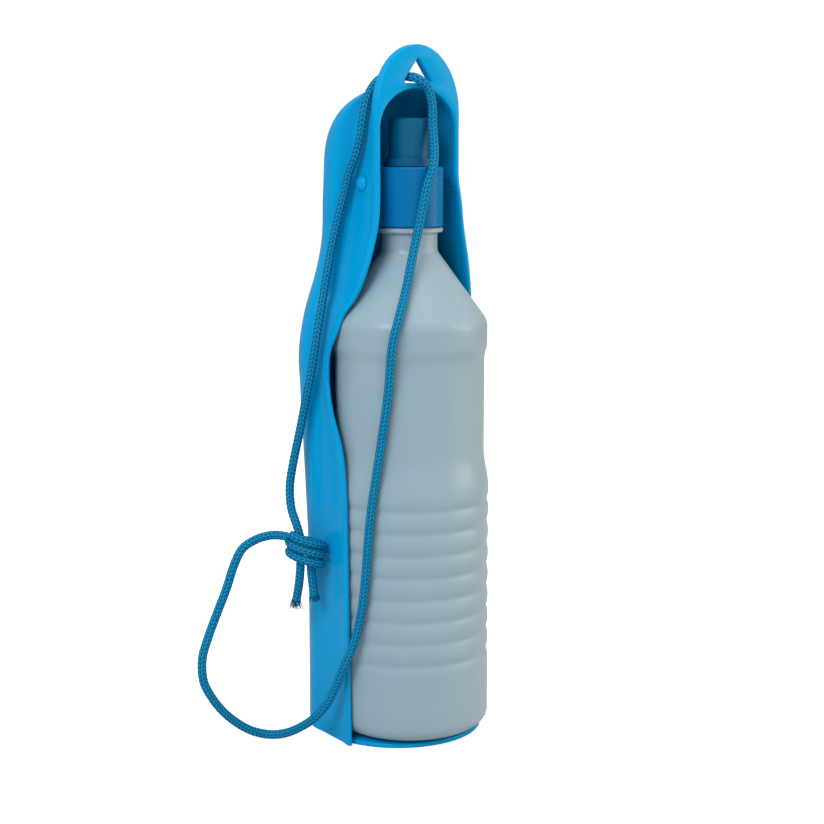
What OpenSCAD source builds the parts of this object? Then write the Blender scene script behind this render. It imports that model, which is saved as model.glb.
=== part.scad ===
// Dog travel water bottle: a squeeze bottle nested in a drinking trough.
// The bottle screws into a hinged cap and swings out of the trough's open side.
// Frame: +Z up along the bottle's axis, the trough's open side faces -Y, and the
// origin is on the bottle's axis, on the surface that the trough's end shelf stands on.

/* [Bottle] */
// Diameter of the body over the rib crests
body_d = 63.4; // [58:0.2:66]
// Diameter of the waist above the ribs
waist_d = 59.4; // [54:0.2:62]
// Diameter of the plain band under the shoulder
band_d = 61.6; // [54:0.2:64]
// Height from the base to the shoulder edge
body_h = 164.8; // [150:0.2:190]
// Height of the plain band under the shoulder
band_h = 12; // [6:0.5:20]
// Height of the cone between the shoulder edge and the neck
cone_h = 25.4; // [20:0.2:32]
// Radius of the rounded shoulder edge
shoulder_r = 8; // [4:0.5:12]
// Radius of the rounded base edge
base_r = 6; // [4:0.5:8]
// Thickness of the blown wall
bottle_wall = 1; // [0.6:0.1:1.6]
// Number of squeeze grooves
groove_n = 8; // [4:1:9]
// Distance from groove to groove
groove_pitch = 8.8; // [7:0.1:10]
// Depth of a squeeze groove
groove_depth = 1.1; // [0.5:0.1:1.6]
// Height of the lowest groove above the base
groove_start = 31.2; // [20:0.2:40]

/* [Neck and cap] */
// Diameter of the plain neck
neck_d = 22; // [20:0.2:24]
// Length of the plain neck under its support ring
neck_len = 8.3; // [6:0.1:12]
// Diameter of the support ring
ring_d = 26.2; // [25:0.1:27]
// Thickness of the support ring
ring_t = 2.3; // [1.5:0.1:3]
// Diameter of the neck inside the cap, at the root of its thread
finish_d = 20.4; // [19:0.1:21]
// Outer diameter of the cap
cap_d = 26.6; // [25:0.1:28]
// Height of the cap
cap_h = 23; // [20:0.1:26]
// Thickness of the cap's skirt
cap_wall = 1.9; // [1.4:0.1:2.2]
// Thickness of the cap's top deck
deck_t = 2.4; // [1.6:0.1:3]
// Thickness of the sealing washer under the deck
washer_t = 1.6; // [1:0.1:2.5]
// Gap between the support ring and the cap's edge
cap_gap = 0.4; // [0.2:0.1:1]

/* [Nozzle] */
// Outer diameter of the nozzle's barrel
nozzle_d = 16; // [14:0.1:17]
// Outer diameter of the nozzle's foot ring
foot_d = 19.6; // [18:0.1:21]
// Height of the nozzle's foot ring
foot_h = 3; // [2:0.1:4]
// Height of the nozzle above the cap's deck
nozzle_h = 18.7; // [15:0.1:20]
// Diameter of the fixed spigot that the nozzle turns on
spigot_d = 11; // [9:0.1:12]
// Diameter of each outlet hole
outlet_d = 2.4; // [1.5:0.1:3]
// Distance of an outlet hole from the axis
outlet_off = 2.2; // [2:0.1:2.6]
// Section diameter of the nozzle's seal ring
seal_t = 1; // [0.8:0.1:1.2]

/* [Hinge] */
// Height of the hinge above the cap's lower edge
hinge_up = 16.6; // [12:0.1:17.5]
// Distance of the hinge behind the bottle's axis
hinge_back = 4.5; // [3.5:0.1:5.5]
// Diameter of the pivot pins
pin_d = 4; // [3:0.1:5]
// Diameter of the domed pin heads
head_d = 6.4; // [5.5:0.1:8]
// Height of the domed pin heads
head_h = 1.8; // [1:0.1:2.5]
// Diameter of the cap's hinge bosses
boss_d = 8.4; // [7.5:0.1:10]
// Reach of the hinge bosses past the cap's skirt
boss_reach = 3.6; // [2.5:0.1:4.5]

/* [Trough] */
// Wall thickness of the trough
wall = 1.7; // [1.4:0.1:2.4]
// Thickness of the end shelf that the trough stands on
shelf_t = 1.8; // [1.4:0.1:3]
// Reach of the end shelf in front of the axis
shelf_front = 25.5; // [20:0.5:30]
// How far behind the rim the end shelf's rounded front edge starts
shelf_back = 8; // [5:0.5:10]
// Radius of the trough's rear corners
corner_r = 15.5; // [12:0.5:16]
// How far the rim's bead stands out from the wall
bead = 0.6; // [0.3:0.1:1]
// Depth of the rim's bead
bead_depth = 4; // [3:0.1:5]
// Width that the rear of the trough gains on each side at the neck
neck_overhang = 6.4; // [4:0.2:8]
// Width that the rear of the trough gains on each side at the hip
hip_overhang = 3.4; // [1.5:0.1:4]

/* [Hanger] */
// Thickness of the hanger plate
plate_t = 4.2; // [3:0.1:5]
// Height of the hanger plate above the hinge
plate_up = 53; // [50:0.5:60]
// Height of the plate's rounded top
crown_h = 26; // [20:0.5:30]
// Height of the arched opening's top above the hinge
arch_up = 36.3; // [33:0.1:38]
// Height of the arched part of the opening
arch_h = 15.3; // [12:0.1:18]
// Width of the triangular hanging hole
hole_w = 13.4; // [10:0.1:16]
// Height of the triangular hanging hole
hole_h = 9.2; // [8:0.2:11]
// Height of the web between the opening and the hanging hole
hole_web = 2; // [1.8:0.1:3]

/* [Cord] */
// Diameter of the braided cord
cord_d = 3.6; // [3:0.1:4]
// Number of wraps in the knot
knot_turns = 2.5; // [1.5:0.5:3.5]
// Distance from wrap to wrap in the knot
knot_pitch = 4; // [3.8:0.1:5]

/* [Clearances] */
// Gap between the bottle's ribs and each side of the trough
side_gap = 0.4; // [0.3:0.1:1.5]
// Gap under the bottle, which its base needs as it swings out
base_gap = 1.4; // [1.3:0.1:3]
// Gap between each hinge boss and the trough's wall
boss_gap = 0.3; // [0.2:0.1:0.6]
// Gap between each pin's head and the trough's wall
head_gap = 0.45; // [0.4:0.05:0.8]
// Running clearance on the radius of a turning part
run_gap = 0.1; // [0.05:0.01:0.2]

/* [Hidden] */
$fn = 64;
trough_blue = [0.0, 0.53, 0.78];
cap_blue = [0.0, 0.42, 0.68];
nozzle_blue = [0.0, 0.33, 0.52];
cord_blue = [0.0, 0.40, 0.56];
bottle_grey = [0.72, 0.77, 0.80, 0.75];
seal_black = [0.12, 0.12, 0.13];

// Heights, from the ground up
base_z = shelf_t + base_gap;
shoulder_z = base_z + body_h;
neck_z = shoulder_z + cone_h;
ring_z = neck_z + neck_len;
cap_z = ring_z + ring_t + cap_gap;
cap_top = cap_z + cap_h;
hinge_z = cap_z + hinge_up;
plate_top = hinge_z + plate_up;
arch_z = hinge_z + arch_up;
lip_z = cap_top - deck_t - washer_t;

// Half widths of the trough, over its walls
body_w = body_d / 2 + side_gap + wall;
neck_w = cap_d / 2 + boss_reach + boss_gap + wall;
back_y = body_w + 0.4;
rim_y = -6.3;
plate_y = rim_y - 0.15;

// ---------- helpers ----------
function ease(t) = let (u = max(0, min(1, t))) u * u * (3 - 2 * u);
function slope(rows, c, i) =
    let (a = max(i - 1, 0), b = min(i + 1, len(rows) - 1))
    (rows[b][c] - rows[a][c]) / (rows[b][0] - rows[a][0]);
function segment(rows, z) = max([0, for (i = [0 : len(rows) - 2]) if (rows[i][0] <= z) i]);
// Smooth value of column c at height z, through the rows of a table
function between(rows, c, z) =
    let (i = segment(rows, z), h = rows[i + 1][0] - rows[i][0],
         t = max(0, min(1, (z - rows[i][0]) / h)), t2 = t * t, t3 = t2 * t)
    (2 * t3 - 3 * t2 + 1) * rows[i][c] + (t3 - 2 * t2 + t) * h * slope(rows, c, i)
    + (3 * t2 - 2 * t3) * rows[i + 1][c] + (t3 - t2) * h * slope(rows, c, i + 1);
function mirrored(points) = [for (i = [len(points) - 1 : -1 : 0]) [-points[i][0], points[i][1]]];

// Closed skin over equal rings of points. Each end is a strip of triangles between
// the first and the second half of its ring, so a hollow U section closes cleanly.
function end_strip(n, from, turn) =
    [for (j = [0 : n / 2 - 2])
     let (a = from + j, b = from + n - 1 - j)
     each turn ? [[a, b, b - 1], [a, b - 1, a + 1]] : [[a, b - 1, b], [a, a + 1, b - 1]]];
module skin(rings) {
    n = len(rings[0]);
    last = (len(rings) - 1) * n;
    points = [for (r = rings) each r];
    walls = [for (i = [0 : len(rings) - 2], j = [0 : n - 1])
             let (a = i * n + j, b = i * n + (j + 1) % n)
             each [[a, a + n, b + n], [a, b + n, b]]];
    polyhedron(points, concat(walls, end_strip(n, 0, false), end_strip(n, last, true)),
               convexity = 8);
}

// ---------- trough ----------
// One row per level: height, width from neck (0) to body (1), place of the rim,
// gain in width behind the rim, place of the valley where that gain starts
trough_levels = [
    [0, 1, -8.6, 0.02, 11.5],
    [20, 1, -7.8, 0.02, 11.5],
    [shoulder_z - 116, 1, -7.2, 0.02, 11.5],
    [shoulder_z - 86, 1, -6.3, hip_overhang * 0.1, 11.5],
    [shoulder_z - 68, 1, -5.7, hip_overhang * 0.35, 12],
    [shoulder_z - 55, 1.007, -3.6, hip_overhang * 0.6, 12],
    [shoulder_z - 46, 1.013, -0.9, hip_overhang * 0.7, 12],
    [shoulder_z - 37, 1.02, 3.6, hip_overhang * 0.85, 12],
    [shoulder_z - 27, 1.034, 6.3, hip_overhang * 0.9, 12],
    [shoulder_z - 17, 1.047, 6.5, hip_overhang, 12],
    [shoulder_z - 11, 1.027, 5.4, hip_overhang, 12],
    [shoulder_z - 4, 0.95, 2, hip_overhang, 12],
    [shoulder_z + 3, 0.81, 0.2, neck_overhang * 0.6, 12],
    [shoulder_z + 9, 0.615, -3.1, neck_overhang * 0.73, 12],
    [shoulder_z + 15, 0.475, -5.3, neck_overhang * 0.7, 12],
    [hinge_z - 30, 0.33, -6.9, neck_overhang * 0.66, 11.6],
    [hinge_z - 22, 0.195, -7.6, neck_overhang * 0.72, 11],
    [hinge_z - 15, 0.1, -8, neck_overhang * 0.86, 10.5],
    [hinge_z - 7, 0.05, -7.8, neck_overhang * 0.95, 10],
    [hinge_z + 1, 0, -6.9, neck_overhang, 9.5],
    [hinge_z + 9, 0, rim_y, neck_overhang * 0.95, 9.5],
    [hinge_z + 18, 0, rim_y, neck_overhang * 0.92, 9.5],
    [hinge_z + 60, 0, rim_y, neck_overhang * 0.92, 9.5]];
valley_w = 6.5;
dome_z = hinge_z + 7;
dome_t = 1.2;
dome_top = arch_z + dome_t + 0.5;
plate_low = dome_z - 8.1;
dome_power = 2.4;
arch_power = 4.5;
level_z = concat(
    [0.3, 8, 20, 36, shoulder_z - 116, shoulder_z - 100],
    [for (i = [0 : 16]) shoulder_z - 86 + 6 * i],
    [for (i = [0 : 7]) shoulder_z + 15 + (dome_z - shoulder_z - 15) * i / 7]);
dome_steps = [0.14, 0.28, 0.42, 0.55, 0.67, 0.78, 0.87, 0.94, 0.98, 1];

function rim_w(z) = neck_w + (body_w - neck_w) * between(trough_levels, 1, z);

// Right half of the U section at height z, drawn in by inset. Under the dome it shrinks
// toward its front edge, by k at the rear and by the wider kf at the front.
function half_section(z, inset, k, kf) =
    let (a = rim_w(z), front = between(trough_levels, 2, z),
         b = a + between(trough_levels, 3, z), v = between(trough_levels, 4, z),
         out = inset > 0 ? 0 : bead, r = corner_r - inset, y2 = back_y - inset,
         points = concat(
             [[a - inset + out - (inset > 0 ? 0 : 0.5), front + (inset > 0 ? 0.3 : 0)],
              [a - inset + out, front + 0.7],
              [a - inset + out, front + bead_depth - 0.8],
              [a - inset, front + bead_depth],
              [a - inset, (front + v) / 2 + 2]],
             [for (t = [0 : 0.25 : 1]) [a - inset + (b - a) * ease(t), v + valley_w * t]],
             [for (t = [0 : 18 : 90]) [b - inset - r + r * cos(t), y2 - r + r * sin(t)]],
             [[(b - inset - r) / 2, y2]]))
    [for (p = points) let (t = (p[1] - front) / (y2 - front))
     [p[0] * (kf + (k - kf) * t), front + (p[1] - front) * k]];
function section(z, inset, k = 1, kf = 1) =
    let (half = half_section(z, inset, k, kf), y2 = max([for (p = half) p[1]]))
    concat(half, [[0, y2]], mirrored(half));
function dome_k(s, power) = max(0.08, pow(1 - pow(s, power), 1 / power));
function ring_at(z, k = 1, kf = 1) =
    let (outer = section(z[0], 0, k, kf), inner = section(z[1], wall, k, kf), n = len(outer))
    concat([for (p = outer) [p[0], p[1], z[0]]],
           [for (i = [n - 1 : -1 : 0]) [inner[i][0], inner[i][1], z[1]]]);

module shell() {
    skin(concat(
        [for (z = level_z) ring_at([z, z])],
        [for (s = dome_steps)
         ring_at([dome_z + (dome_top - dome_z) * s, dome_z + (dome_top - dome_t - dome_z) * s],
                 dome_k(s, dome_power), dome_k(s, arch_power))]));
}

module shelf() {
    edge = section(0, wall / 2);
    corner = [edge[4][0], edge[0][1] + shelf_back];
    bow = shelf_front + corner[1];
    bow_r = (pow(corner[0], 2) + pow(bow, 2)) / (2 * bow);
    sweep = asin(corner[0] / bow_r);
    linear_extrude(height = shelf_t)
        polygon(concat(
            [for (p = edge) if (p[1] > corner[1]) p],
            [for (t = [-sweep : sweep / 12 : sweep + 0.01])
             [bow_r * sin(t), -shelf_front + bow_r - bow_r * cos(t)]]));
}

module arch_outline(w, top, h, low, inset = 0) {
    polygon(concat(
        [[-w + inset, low + inset], [w - inset, low + inset]],
        [for (t = [0 : 7.2 : 180]) [(w - inset) * cos(t), top - h + (h - inset) * sin(t)]]));
}

module hanger_plate() {
    w = neck_w + bead + 0.15;
    hull() {
        translate([0, plate_y + plate_t - 1, 0]) rotate([90, 0, 0])
            linear_extrude(height = plate_t - 2) arch_outline(w, plate_top, crown_h, plate_low);
        translate([0, plate_y + plate_t, 0]) rotate([90, 0, 0])
            linear_extrude(height = plate_t) arch_outline(w, plate_top, crown_h, plate_low, 1);
    }
}

module hanging_hole() {
    low = arch_z + hole_web;
    r = 0.8;
    hull() {
        for (x = [-1, 1])
            translate([x * (hole_w / 2 - r), low + r]) circle(r, $fn = 24);
        translate([0, low + hole_h - r]) circle(r, $fn = 24);
    }
}

module trough() {
    cut = 3;
    color(trough_blue) difference() {
        resize([0, 0, 0]) difference() {
            union() {
                shell();
                shelf();
                hanger_plate();
            }
            translate([0, plate_y + plate_t + 1, 0]) rotate([90, 0, 0])
                linear_extrude(height = plate_t + cut)
                    arch_outline(neck_w - wall - 0.3, arch_z, arch_h, plate_low - 1);
            translate([0, plate_y + plate_t + cut, 0]) rotate([90, 0, 0])
                linear_extrude(height = plate_t + 2 * cut) hanging_hole();
        }
        translate([-neck_w - cut, hinge_back, hinge_z]) rotate([0, 90, 0])
            cylinder(d = pin_d + 2 * run_gap, h = 2 * (neck_w + cut));
    }
}

// ---------- bottle ----------
function groove_r(z) =
    body_d / 2 - groove_depth * pow(abs(cos(180 * (z - base_z - groove_start) / groove_pitch)), 3);
ribs_top = base_z + groove_start + (groove_n - 0.5) * groove_pitch;
ribs_low = base_z + groove_start - groove_pitch / 2;

// Outer profile of the bottle, drawn in by the wall for its inside
function bottle_profile(w) = concat(
    [[0, base_z + 2.5 + w], [body_d / 2 - base_r - 4, base_z + 1 + w]],
    [for (t = [-90 : 15 : 0])
     [body_d / 2 - base_r + (base_r - w) * cos(t), base_z + base_r + (base_r - w) * sin(t)]],
    [for (i = [0 : groove_n * 8]) let (z = ribs_low + i * groove_pitch / 8) [groove_r(z) - w, z]],
    [for (t = [0.2 : 0.2 : 1])
     [body_d / 2 - w + (waist_d - body_d) / 2 * ease(t), ribs_top + 16 * t]],
    [[waist_d / 2 - w, shoulder_z - band_h - 0.6], [band_d / 2 - w, shoulder_z - band_h]],
    [for (t = [0 : 0.2 : 1]) shoulder_arc(t, w)],
    [[neck_d / 2 + 0.9 - w, neck_z + 0.2 - w / 2], [neck_d / 2 - w, neck_z + 1.4]]);
// Rounded shoulder edge, from the band's wall to the cone's slope
function shoulder_arc(t, w) =
    let (angle = atan2(band_d / 2 - neck_d / 2, cone_h) * -1 + 90, a = (90 - angle) * t)
    [band_d / 2 - shoulder_r + (shoulder_r - w) * cos(a),
     shoulder_z - 3 + (shoulder_r - w) * sin(a)];

module bottle() {
    outer = bottle_profile(0);
    inner = bottle_profile(bottle_wall);
    color(bottle_grey) rotate_extrude($fn = 96)
        polygon(concat(
            outer,
            [[neck_d / 2, ring_z], [ring_d / 2, ring_z + 0.5], [ring_d / 2, ring_z + ring_t],
             [finish_d / 2, ring_z + ring_t], [finish_d / 2, lip_z]],
            [[finish_d / 2 - bottle_wall - 0.2, lip_z],
             [finish_d / 2 - bottle_wall - 0.2, ring_z]],
            [for (i = [len(inner) - 1 : -1 : 0]) inner[i]]));
}

// ---------- cap, washer and nozzle ----------
spigot_top = cap_top + nozzle_h - 1.8;
seal_z = cap_top + nozzle_h / 2;
seal_x = spigot_d / 2 + run_gap - 0.02 - seal_t / 2;
spigot_wall = 2;
module outlets(turn, z, h) {
    for (a = [0, 180])
        rotate([0, 0, a + turn]) translate([outlet_off, 0, z]) cylinder(d = outlet_d, h = h);
}

module cap() {
    inner_r = cap_d / 2 - cap_wall;
    bore_r = spigot_d / 2 - spigot_wall;
    seat_x = neck_w - wall - boss_gap;
    color(cap_blue) difference() {
        union() {
            translate([0, 0, cap_z]) rotate_extrude()
                polygon([[0, 0], [cap_d / 2 - 0.3, 0], [cap_d / 2, 0.3],
                         [cap_d / 2, cap_h - 0.5], [cap_d / 2 - 0.5, cap_h], [0, cap_h]]);
            translate([-seat_x, hinge_back, hinge_z]) rotate([0, 90, 0])
                cylinder(d = boss_d, h = 2 * seat_x);
            cylinder_between(spigot_d / 2, cap_top - 0.5, spigot_top);
        }
        cylinder_between(inner_r, cap_z - 1, lip_z + washer_t);
        cylinder_between(bore_r, lip_z, spigot_top - 1.6);
        outlets(0, spigot_top - 2.6, 4);
        translate([0, 0, seal_z]) rotate_extrude()
            translate([seal_x - seal_t / 2 - 0.03, -seal_t / 2 - 0.1])
                square([seal_t, seal_t + 0.2]);
        for (s = [-1, 1])
            translate([s * (seat_x + 1), hinge_back, hinge_z]) rotate([0, -90 * s, 0])
                cylinder(d = pin_d, h = seat_x + 1 - inner_r - 0.4);
    }
}

module cylinder_between(r, z0, z1) {
    translate([0, 0, z0]) cylinder(r = r, h = z1 - z0);
}

module cap_washer() {
    color(seal_black) difference() {
        cylinder_between(cap_d / 2 - cap_wall - 0.2, lip_z, lip_z + washer_t);
        cylinder_between(finish_d / 2 - bottle_wall - 0.2, lip_z - 1, lip_z + washer_t + 1);
    }
}

module nozzle() {
    low = cap_top + 0.3;
    top = cap_top + nozzle_h;
    bore_r = spigot_d / 2 + run_gap;
    color(nozzle_blue) difference() {
        translate([0, 0, low]) rotate_extrude()
            polygon([[0, 0], [foot_d / 2, 0], [foot_d / 2, foot_h * 0.55],
                     [foot_d / 2 - 0.5, foot_h * 0.55], [foot_d / 2 - 0.5, foot_h],
                     [nozzle_d / 2, foot_h], [nozzle_d / 2, nozzle_h - 1],
                     [nozzle_d / 2 - 0.7, nozzle_h - 0.3], [0, nozzle_h - 0.3]]);
        cylinder_between(bore_r, low - 1, spigot_top + run_gap);
        outlets(90, spigot_top - 1, 4);
    }
}

module nozzle_seal() {
    color(seal_black) translate([0, 0, seal_z]) rotate_extrude()
        translate([seal_x, 0]) circle(d = seal_t);
}

// Domed pin, its shank pressed into the cap's boss and turning in the trough's wall
module pivot_pin(side) {
    seat_x = neck_w - wall - boss_gap;
    inner_x = cap_d / 2 - cap_wall + 0.6;
    head_x = neck_w + head_gap;
    dome_r = (pow(head_d / 2, 2) + pow(head_h, 2)) / (2 * head_h);
    half = asin(head_d / 2 / dome_r);
    color(trough_blue) translate([0, hinge_back, hinge_z]) rotate([0, 90 * side, 0])
        rotate_extrude()
            polygon(concat(
                [[0, inner_x], [pin_d / 2 - 0.3, inner_x], [pin_d / 2, inner_x + 0.3],
                 [pin_d / 2, head_x], [head_d / 2, head_x]],
                [for (t = [5 : -1 : 0])
                 [dome_r * sin(half * t / 5), head_x + head_h - dome_r * (1 - cos(half * t / 5))]]));
}
module pivot_pin_left() { pivot_pin(-1); }
module pivot_pin_right() { pivot_pin(1); }

// ---------- cord ----------
// Round tube along a route, each ring square to the route, with 8 sides
function unit(v) = v / norm(v);
function tangent(p, i) = unit(p[min(i + 1, len(p) - 1)] - p[max(i - 1, 0)]);
function carried(p, i, last) =
    let (t = tangent(p, i)) unit(last - (last * t) * t);
function frames(p, i, last) =
    i == len(p) ? [] : let (u = carried(p, i, last)) concat([u], frames(p, i + 1, u));
// Points of a smooth curve through a route, about step apart
function curve_point(p, i, t) =
    let (a = p[max(i - 1, 0)], b = p[i], c = p[i + 1], d = p[min(i + 2, len(p) - 1)])
    0.5 * ((2 * b) + (c - a) * t + (2 * a - 5 * b + 4 * c - d) * t * t
           + (3 * b - a - 3 * c + d) * t * t * t);
function smooth_route(p, step) = concat(
    [for (i = [0 : len(p) - 2])
     let (n = max(1, round(norm(p[i + 1] - p[i]) / step)))
     for (j = [0 : n - 1]) curve_point(p, i, j / n)],
    [p[len(p) - 1]]);
module tube(route, d, step) {
    p = smooth_route(route, step);
    first = unit(cross(tangent(p, 0), [0.31, 0.95, 0.12]));
    u = frames(p, 0, first);
    skin([for (i = [0 : len(p) - 1])
          let (t = tangent(p, i), v = cross(t, u[i]))
          [for (a = [0 : 45 : 315]) p[i] + d / 2 * (cos(a) * u[i] + sin(a) * v)]]);
}

// The front stretch leaves the hanging hole, lies down the bottle, crosses the trough's rim
// and comes back up from the ground in a loose loop to the knot
cord_front_route = [
    [-2.8, -4.6, 261.6], [-2.4, -7.2, 261.4], [-0.6, -9, 260], [2.6, -9.2, 257], [4.4, -9.2, 251],
    [4.4, -9.6, 243], [3.4, -12.2, 234], [0.4, -15.6, 227], [-2.6, -15.8, 220],
    [-5, -15.4, 209], [-8.6, -15.8, 196], [-14.6, -19.2, 181], [-21.2, -24, 170.5],
    [-24, -23.8, 160], [-24.4, -21.6, 142], [-26.2, -19, 121], [-29.6, -17, 94],
    [-31, -14.4, 64], [-32.2, -12, 50], [-34.2, -10.4, 41], [-36.8, -8, 33],
    [-38.4, -5, 25], [-41, -1.6, 17], [-44.2, 3, 10.6], [-47.8, 9, 5.6], [-51, 15, 2.4],
    [-56, 19, 1.9], [-62.6, 21, 4.3], [-69, 22, 8.9], [-74.4, 22, 14.2], [-79, 22, 20.5],
    [-82.6, 22, 28], [-83, 22, 37], [-80.4, 22, 45], [-76.4, 22, 54], [-72.4, 21, 64],
    [-69.2, 20.5, 73], [-65.6, 20, 79.4], [-60, 19, 82.6], [-54.6, 17.6, 83.8],
    [-50.8, 15.8, 83.7], [-48.5, 13.2, 83.2]];
// The back stretch leaves the hole behind the plate and runs down beside the rear wall
cord_back_route = [
    [-2.9, -3.6, 261.8], [-3.3, -1.6, 262], [-5, 0.4, 262.3], [-8.4, 1, 262], [-12.4, 1, 261],
    [-16.2, 1, 257.8], [-19, 0.8, 253.2], [-20.7, 0.7, 247.5], [-21.6, 1.4, 240],
    [-22.2, 4, 232], [-22.8, 8, 225], [-23.6, 10.2, 217], [-25.6, 12, 207],
    [-28.6, 12.2, 195], [-32.8, 10.6, 180], [-37, 8.8, 165], [-38.6, 11, 149],
    [-39.6, 14, 137], [-40.8, 16.6, 125], [-42.6, 19, 112], [-43.8, 20, 102],
    [-44.2, 18.4, 93.5], [-43.9, 14.6, 87], [-43.7, 12.6, 82.5], [-43.7, 12.5, 78.2]];
cord_tail_left_route = [[-43.7, 12.5, 77.8], [-43.7, 12.5, 71], [-44, 13.2, 64], [-44.6, 14.4, 57]];
cord_tail_right_route = [[-40.3, 10.1, 79], [-40.3, 10.1, 71], [-40, 9.6, 64.5], [-39.6, 8.8, 59]];
knot_at = [-42, 11.3, 78];
knot_row = [0.83, -0.56, 0];

// Wraps of the knot, round two strands that lie side by side along knot_row
function knot_point(a) =
    let (across = [-knot_row[1], knot_row[0], 0], long = 1.8 * cord_d, short = 1.32 * cord_d)
    knot_at + long * cos(a) * knot_row + short * sin(a) * across;
knot_route = [for (i = [0 : knot_turns * 8])
              knot_point(210 + 45 * i) + [0, 0, knot_pitch * (knot_turns / 2 - i / 8)]];

module cord_front() { color(cord_blue) tube(cord_front_route, cord_d, 11); }
module cord_back() { color(cord_blue) tube(cord_back_route, cord_d, 11); }
module cord_knot() { color(cord_blue) tube(knot_route, cord_d, 11); }
module cord_tail_left() { color(cord_blue) tube(cord_tail_left_route, cord_d, 11); }
module cord_tail_right() { color(cord_blue) tube(cord_tail_right_route, cord_d, 11); }

trough();
bottle();
cap();
cap_washer();
nozzle();
nozzle_seal();
pivot_pin_left();
pivot_pin_right();
cord_front();
cord_back();
cord_knot();
cord_tail_left();
cord_tail_right();
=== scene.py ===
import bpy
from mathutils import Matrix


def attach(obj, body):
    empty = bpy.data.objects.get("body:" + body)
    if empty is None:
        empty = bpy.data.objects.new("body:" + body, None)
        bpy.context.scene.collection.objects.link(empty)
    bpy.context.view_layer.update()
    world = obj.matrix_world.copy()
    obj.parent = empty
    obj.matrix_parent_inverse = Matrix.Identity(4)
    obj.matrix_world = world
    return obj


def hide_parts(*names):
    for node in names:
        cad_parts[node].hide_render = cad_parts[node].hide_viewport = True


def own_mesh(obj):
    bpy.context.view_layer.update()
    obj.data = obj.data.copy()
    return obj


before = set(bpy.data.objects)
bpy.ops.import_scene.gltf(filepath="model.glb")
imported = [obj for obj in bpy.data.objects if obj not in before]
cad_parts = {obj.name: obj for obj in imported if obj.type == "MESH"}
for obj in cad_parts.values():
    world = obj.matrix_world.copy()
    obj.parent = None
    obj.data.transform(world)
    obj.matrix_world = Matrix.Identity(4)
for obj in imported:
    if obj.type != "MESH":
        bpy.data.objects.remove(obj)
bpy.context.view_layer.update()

# Dog travel water bottle: a ribbed squeeze bottle nested in a blue drinking trough.
# Metres, +Z up along the bottle's axis, the trough's open side faces -Y.
import math
import random

import bpy
from mathutils import Vector

MM = 0.001

# ---------- camera ----------
CAMERA_PLACE = (-0.3752, -0.5563, 0.238)
CAMERA_DOWN = 9.1          # degrees below the horizon
CAMERA_TURN = -34.084      # degrees about +Z
CAMERA_LENS = 74.4
SENSOR_WIDTH = 36


def add_camera():
    """The camera at the photograph's angle."""
    turn = (math.radians(90 - CAMERA_DOWN), 0, math.radians(CAMERA_TURN))
    bpy.ops.object.camera_add(location=CAMERA_PLACE, rotation=turn)
    camera = bpy.context.object
    camera.data.lens = CAMERA_LENS
    camera.data.sensor_width = SENSOR_WIDTH
    camera.data.clip_start = 0.01
    bpy.context.scene.camera = camera
    bpy.context.scene.view_settings.view_transform = "Standard"


# ---------- common steps ----------
def deselect_all():
    """Leaves nothing selected and no object in edit mode."""
    if bpy.context.object and bpy.context.object.mode != "OBJECT":
        bpy.ops.object.mode_set(mode="OBJECT")
    bpy.ops.object.select_all(action="DESELECT")


def activate(obj):
    """Selects obj alone and makes it the active object."""
    deselect_all()
    obj.select_set(True)
    bpy.context.view_layer.objects.active = obj
    return obj


def mesh_piece(name, points, faces):
    """A new piece from points in millimetres and its faces."""
    mesh = bpy.data.meshes.new(name)
    mesh.from_pydata([(x * MM, y * MM, z * MM) for x, y, z in points], [], faces)
    mesh.update()
    obj = bpy.data.objects.new(name, mesh)
    bpy.context.scene.collection.objects.link(obj)
    return obj


def apply_modifiers(obj):
    """Applies every modifier of obj, in their order."""
    activate(obj)
    for name in [m.name for m in obj.modifiers]:
        bpy.ops.object.modifier_apply(modifier=name)


def recalculate_normals(obj):
    """Merges doubled points and turns all faces outwards."""
    activate(obj)
    bpy.ops.object.mode_set(mode="EDIT")
    bpy.ops.mesh.select_all(action="SELECT")
    bpy.ops.mesh.remove_doubles(threshold=0.00001)
    bpy.ops.mesh.normals_make_consistent(inside=False)
    bpy.ops.object.mode_set(mode="OBJECT")


def bevel_edges(obj, width, angle):
    """Rounds the edges of obj that are sharper than angle."""
    bevel = obj.modifiers.new("soft_edges", "BEVEL")
    bevel.width = width * MM
    bevel.segments = 3
    bevel.limit_method = "ANGLE"
    bevel.angle_limit = math.radians(angle)
    bevel.harden_normals = False
    apply_modifiers(obj)


def smooth(obj, angle):
    """Smooth shading, but for edges sharper than angle."""
    activate(obj)
    bpy.ops.object.shade_smooth_by_angle(angle=math.radians(angle))


def combine(obj, cutter, operation):
    """Joins cutter to obj or cuts it out of obj, and removes the cutter."""
    boolean = obj.modifiers.new(operation.lower(), "BOOLEAN")
    boolean.operation = operation
    boolean.solver = "MANIFOLD"
    boolean.object = cutter
    apply_modifiers(obj)
    bpy.data.objects.remove(cutter)


def settle(obj):
    """Puts the object's place and turn into its mesh."""
    activate(obj)
    bpy.ops.object.transform_apply(location=True, rotation=True, scale=True)


def ease(t):
    """0 to 1 with soft ends."""
    t = max(0.0, min(1.0, t))
    return t * t * (3 - 2 * t)


# ---------- materials ----------
def new_material(name):
    """A material with nodes, and its shader and node tree."""
    material = bpy.data.materials.new(name)
    material.use_nodes = True
    tree = material.node_tree
    return material, tree, tree.nodes["Principled BSDF"]


def node(tree, kind, **inputs):
    """A new node with the given input values; other settings come after it."""
    made = tree.nodes.new(kind)
    for key, value in inputs.items():
        made.inputs[key.replace("_", " ")].default_value = value
    return made


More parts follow.
